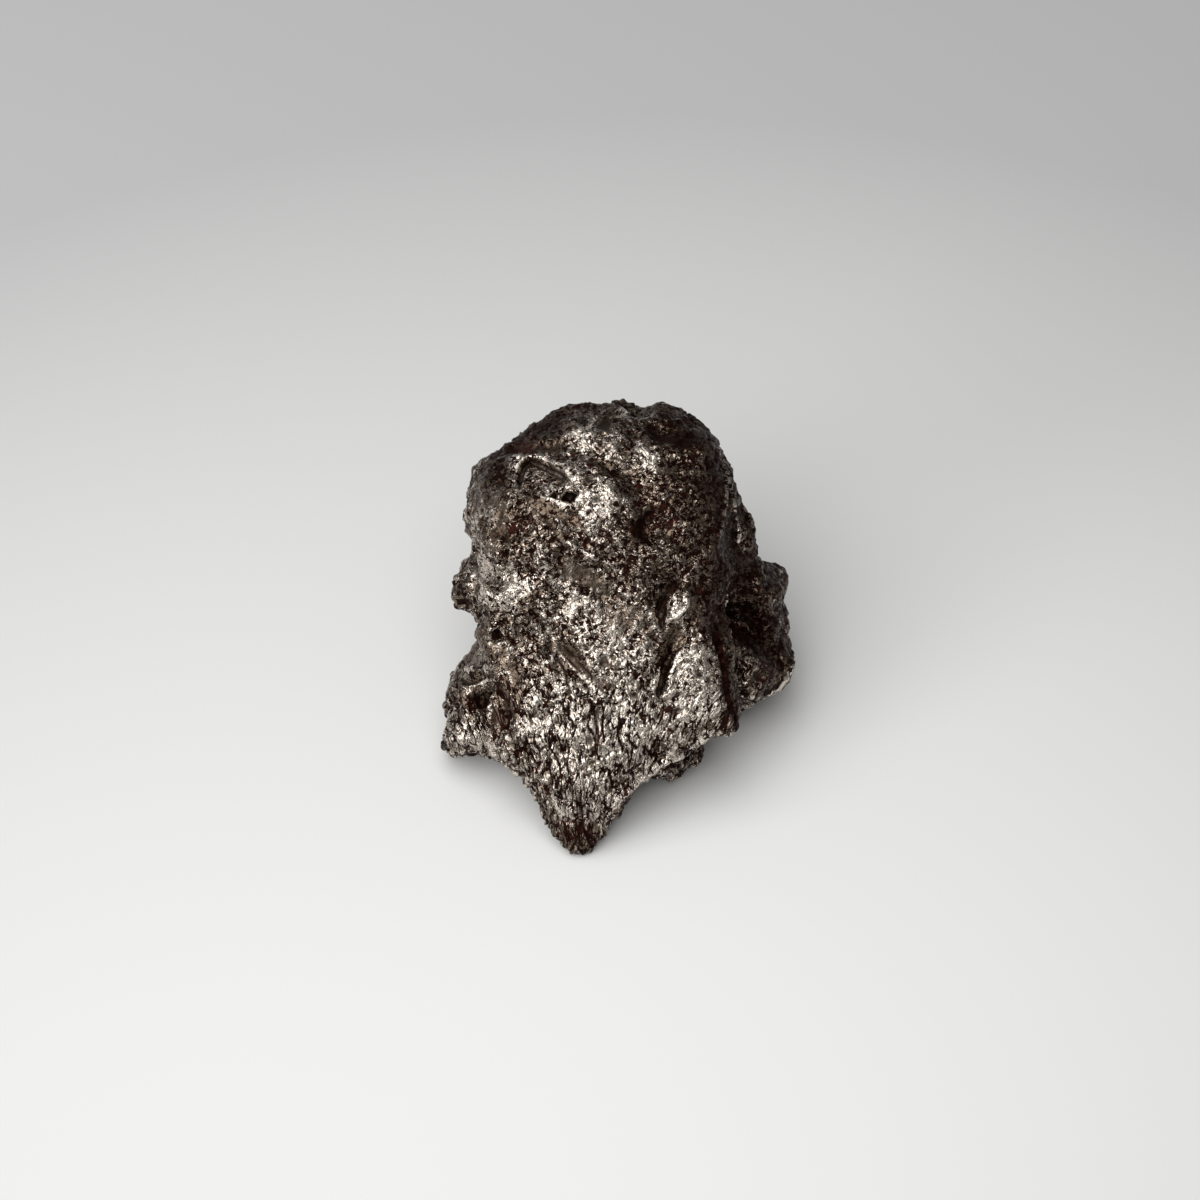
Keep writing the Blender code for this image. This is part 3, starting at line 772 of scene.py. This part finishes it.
def cells(feature, per_mm, at):
    """A cell pattern, with this many seeds to the millimetre."""
    scatter = {"Vector": at, "Scale": per_mm}
    return start.node("ShaderNodeTexVoronoi", {"feature": feature}, scatter, "Distance")


wander = start.node(
    "ShaderNodeTexNoise", {}, {"Vector": flow_place, "Scale": WINDING_PER_MM, "Detail": 1.0}, "Color",
)
wandering = start.node(
    "ShaderNodeVectorMath", {"operation": "MULTIPLY_ADD"}, {0: wander, 1: WINDING_REACH, 2: flow_place},
)
fine = grain(2.2, 1.0, 0.6, 0.7)
fine_swing = fine - 0.5
grit = (grain(3.1, 1.0, 0.5, 1.2) - 0.5) * rough_place
patches = grain(0.3, 3.0, 0.6, 0.0)
patches_swing = patches - 0.5
facets = cells("F1", 2.1, wandering)
print("Noise fields so far:", sum(node.type == "TEX_NOISE" for node in iron.node_tree.nodes))

# %% [markdown]
# ## The dark lace
#
# Over the metal lies a dark lace of hollows, creases and specks, with long cracks between the scales of
# the lower face. Each is cut out of its own field with a sharp threshold, because soft edges would look
# like smoke, and real pits have rims. Where the skin is calm the lace thins out. The cracks are drawn out
# down the face: their points are squeezed along it and spread across it.

# %% Cut the lace
LINE_MIDDLE = 0.5
LIP_MIDDLE = 0.57
CRACK_STRETCH = (1.25, 0.55, 0.8)
CRACK_WOBBLE = 0.3


def line(field, level, width):
    """1 along the thin winding line where a field has this value, and 0 away from it."""
    return (1 - start.math("ABSOLUTE", field - level).soft_step(0.0, width)) * rough_place


crease_field = grain(1.55, 2.0, 0.5, 0.8, wandering)
creases = line(crease_field, LINE_MIDDLE, 0.045)
# Painted highlight: a pale line beside each crease.
crease_highlights = line(crease_field, LIP_MIDDLE, 0.03)
hollows = grain(1.7, 2.0, 0.5, 0.6, wandering).soft_step(0.535, 0.58) * (rough_place - lower_place * 0.25)
specks = grain(2.6, 1.0, 0.5, 0.9).soft_step(0.56, 0.63) * rough_place
drawn = start.node("ShaderNodeVectorMath", {"operation": "MULTIPLY"}, {0: wandering, 1: CRACK_STRETCH})
plates = cells("DISTANCE_TO_EDGE", 0.9, drawn) + fine_swing * CRACK_WOBBLE + patches_swing * CRACK_WOBBLE
cracks = (1 - plates.soft_step(0.01, 0.1)) * lower_place
print("With the lace, noise fields:", sum(node.type == "TEX_NOISE" for node in iron.node_tree.nodes))

# %% [markdown]
# ## Stained and shaded, worn and highlit, or rusted
#
# Three masks decide what each spot is. `pit` is where dark stain and painted shade lie: in the lace, in
# low relief, in holes and under the crust with its painted shade. The wear mask is where the iron is
# rubbed pale and where highlights are painted: on high relief, on edges, and as painted highlight lines on
# the lips beside creases. `rust` gathers in its own places, and sooner in a pit. Each is a weighted sum and
# then a threshold. The weights are the mixing desk of this finish, and were set against the photograph.

# %% Weigh the masks
# Painted shade with dirt: low relief is darkened.
low = 1 - relief.soft_step(-0.9, 0.3)
# Painted shade with stain: the grooves are darkened.
groove_stain_and_shade = 1 - mark.soft_step(-0.35, -0.06)
hole = 1 - mark.soft_step(-0.8, -0.5)
edge = mark.soft_step(0.05, 0.25)

pit = low * 0.45 + hollows * 0.5 + creases * 0.5 + specks * (0.6 - lower_place * 0.4) + hole * 0.6
pit = (pit + fine_swing * 0.4 - grit * 0.4 + crust_and_shade * 0.55 + cracks * 0.75).soft_step(0.66, 0.77)
wear_and_highlight = relief * 0.4 + fine_swing + grit * 0.95 + patches_swing * 1.2 + crease_highlights * 0.55 + edge
wear_and_highlight = (wear_and_highlight - crust_and_shade * 1.05 - hollows * 0.3).soft_step(-0.4, 0.0)
rust = (rust_place * 0.55 + patches * 0.9 + pit * 0.7 + fine_swing * 0.8 - 1.1).soft_step(0.0, 0.5)
print("The masks bring the tree to", len(iron.node_tree.nodes), "nodes")

# %% [markdown]
# ## Colour, gloss and fine relief
#
# The metal itself is dark, because a meteorite's iron is stained, not chromed. Its worn ridges are paler
# and a little smoother, and rims and crease lips carry painted highlights. A pit, with its stain and
# painted shade, turns almost black but stays glossy, and rust is duller and less metallic.
# The lace is also a bump, so that it catches the light: the heights are worked out in millimetres, and
# the Bump node's distance says how long a millimetre is.

# %% Finish the iron
PALE_IRON = (0.67, 0.595, 0.52, 1.0)
STAINED_IRON = (0.15, 0.112, 0.083, 1.0)
DEEP_STAIN_AND_SHADE = (0.013, 0.0035, 0.0022, 1.0)
GROOVE_STAIN_AND_SHADE = (0.035, 0.02, 0.013, 1.0)
RED_RUST = (0.035, 0.006, 0.004, 1.0)
OCHRE_RUST = (0.065, 0.016, 0.009, 1.0)
STAIN_SHINE = 0.1

# Pale where the iron is worn, and where highlights are painted on rims and crease lips.
metal = wear_and_highlight.mix(STAINED_IRON, PALE_IRON)
grooved = (groove_stain_and_shade * 0.85).mix(metal, GROOVE_STAIN_AND_SHADE)
# Painted shade with crust: where the crust map is highest, mostly on the shaded right side, the colour goes
# almost black.
crust_and_shade_colour = (crust_and_shade.soft_step(0.8, 1.0) * 0.5).mix(grooved, DEEP_STAIN_AND_SHADE)
# Painted shade with real stain: pits, holes, low relief and the dark lace go almost black.
stained_and_shaded = (pit * (0.98 - hole * 0.1)).mix(crust_and_shade_colour, DEEP_STAIN_AND_SHADE)
rust_colour = fine.soft_step(0.35, 0.75).mix(RED_RUST, OCHRE_RUST)
colour = (rust * 0.75).mix(stained_and_shaded, rust_colour)
roughness = 0.25 + pit * 0.2 + hole * 0.3 + groove_stain_and_shade * 0.15 + rust * 0.25 - wear_and_highlight * 0.06
metallic = 1 - (pit * 0.15 + rust * 0.5).soft_step(0.0, 1.0)

heights = facets * rough_place * 0.06 - hollows * 0.1 - creases * 0.07
heights = heights - specks * 0.05 - cracks * 0.05 + fine * 0.04
normal = start.node("ShaderNodeBump", {}, {"Strength": 1.0, "Distance": MM, "Height": heights}, "Normal")

surface = iron.node_tree.nodes["Principled BSDF"]
surface.inputs["Specular IOR Level"].default_value = STAIN_SHINE
looks = {"Base Color": colour, "Roughness": roughness, "Metallic": metallic, "Normal": normal}
for name, shade in looks.items():
    iron.node_tree.links.new(shade.socket, surface.inputs[name])
skin_mesh.materials.clear()
skin_mesh.materials.append(iron)
print("The iron finish has", len(iron.node_tree.nodes), "nodes")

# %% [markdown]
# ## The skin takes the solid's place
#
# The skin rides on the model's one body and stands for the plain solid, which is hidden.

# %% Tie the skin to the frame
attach(skin, "root")
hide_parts("meteorite")
print("The skin has", sum(len(polygon.vertices) - 2 for polygon in skin_mesh.polygons), "triangles")

# %% [markdown]
# ## The table
#
# The lump lies on a sheet of pale paper, brightest near the viewer on the left and greyer towards the
# back. That grading is the fall of the light, painted into the paper. Lights alone could grade it, but
# then each change to them for the iron would change the paper, so the grading is painted in its colour: it
# deepens towards the back and, slowly, on all sides, as painted light falloff around the lump.

# %% Lay the table
PAPER_NEAR = (0.855, 0.855, 0.835, 1.0)
PAPER_FAR = (0.53, 0.53, 0.53, 1.0)
PAPER_SIZE = 3.0
FADE_FROM = -0.11
FADE_TO = 0.17
FADE_SLANT = 0.05
FAR_DEEPENING = 40.0
NEAR_LIFT = 0.12

bpy.ops.mesh.primitive_plane_add(size=PAPER_SIZE)
table = bpy.context.object
table.name = "table"
paper = bpy.data.materials.new("pale_paper")
paper.use_nodes = True
paper_start = Shade(paper.node_tree)
paper_place = paper_start.node("ShaderNodeTexCoord", {}, {}, "Object")
across = paper_start.node("ShaderNodeSeparateXYZ", {}, {0: paper_place}, "X")
away = paper_start.node("ShaderNodeSeparateXYZ", {}, {0: paper_place}, "Y")
# Painted light falloff on the paper.
to_the_back = (away - across * FADE_SLANT).soft_step(FADE_FROM, FADE_TO)
all_round = (away * away + across * across) * FAR_DEEPENING
painted_falloff = to_the_back + all_round - NEAR_LIFT
paper_surface = paper.node_tree.nodes["Principled BSDF"]
paper.node_tree.links.new(painted_falloff.mix(PAPER_NEAR, PAPER_FAR).socket, paper_surface.inputs["Base Color"])
paper_surface.inputs["Roughness"].default_value = 0.8
paper_surface.inputs["Specular IOR Level"].default_value = 0.1
table.data.materials.append(paper)
print("The table is", PAPER_SIZE, "m across")

# %% [markdown]
# ## Light
#
# Metal shows what surrounds it. One broad panel hangs over the lump, a little to the left, and gives its
# ridges their pale glints. The rest of the room is dim, so what turns away to the right goes dark, as in
# the photograph.

# %% Hang the lights
LUMP_MIDDLE = Vector((0.0, 0.0, 0.012))
ROOM_BRIGHTNESS = 0.24


def panel(name, place, size, power):
    """A square panel that faces the lump; place and size are in metres, power in watts."""
    light = bpy.data.lights.new(name, "AREA")
    light.size = size
    light.energy = power
    lamp = bpy.data.objects.new(name, light)
    bpy.context.scene.collection.objects.link(lamp)
    lamp.location = place
    lamp.rotation_euler = (Vector(place) - LUMP_MIDDLE).to_track_quat("Z", "Y").to_euler()


# The dark right side also comes from the painted side shade in the crust map.
panel("overhead_panel", (-0.13, -0.10, 0.40), 0.6, 2.25)
panel("left_panel", (-0.38, -0.26, 0.17), 0.2, 0.6)

room_light = bpy.data.worlds.new("room")
room_light.use_nodes = True
background = room_light.node_tree.nodes["Background"]
background.inputs["Color"].default_value = (1.0, 1.0, 1.0, 1.0)
background.inputs["Strength"].default_value = ROOM_BRIGHTNESS
bpy.context.scene.world = room_light
bpy.context.scene.view_settings.view_transform = "Standard"
print("Two panels in a room of brightness", ROOM_BRIGHTNESS)

# %% [markdown]
# ## Camera
#
# The photograph looks down at about 50 degrees. The eye is straight out from the face, a sensor of 36 mm
# behind a 120 mm lens sees 120 mm of the face from 400 mm away, and a small shift puts the lump where the
# photograph has it.

# %% Set the camera
SENSOR_WIDTH = 36.0
LENS_LENGTH = 120.0
PICTURE = 1200
FACE_ORIGIN_PIXEL = (620, 630)

camera_data = bpy.data.cameras.new("camera")
camera_data.sensor_width = SENSOR_WIDTH
camera_data.lens = LENS_LENGTH
camera_data.shift_x = (PICTURE / 2 - FACE_ORIGIN_PIXEL[0]) / PICTURE
camera_data.shift_y = (FACE_ORIGIN_PIXEL[1] - PICTURE / 2) / PICTURE
camera = bpy.data.objects.new("camera", camera_data)
bpy.context.scene.collection.objects.link(camera)
eye = face_to_room @ Vector((0, 0, VIEW_DISTANCE))
camera.location = eye
camera.rotation_euler = (eye - FACE_ORIGIN).to_track_quat("Z", "Y").to_euler()
bpy.context.scene.camera = camera
print("The camera stands at", eye.to_tuple(3))
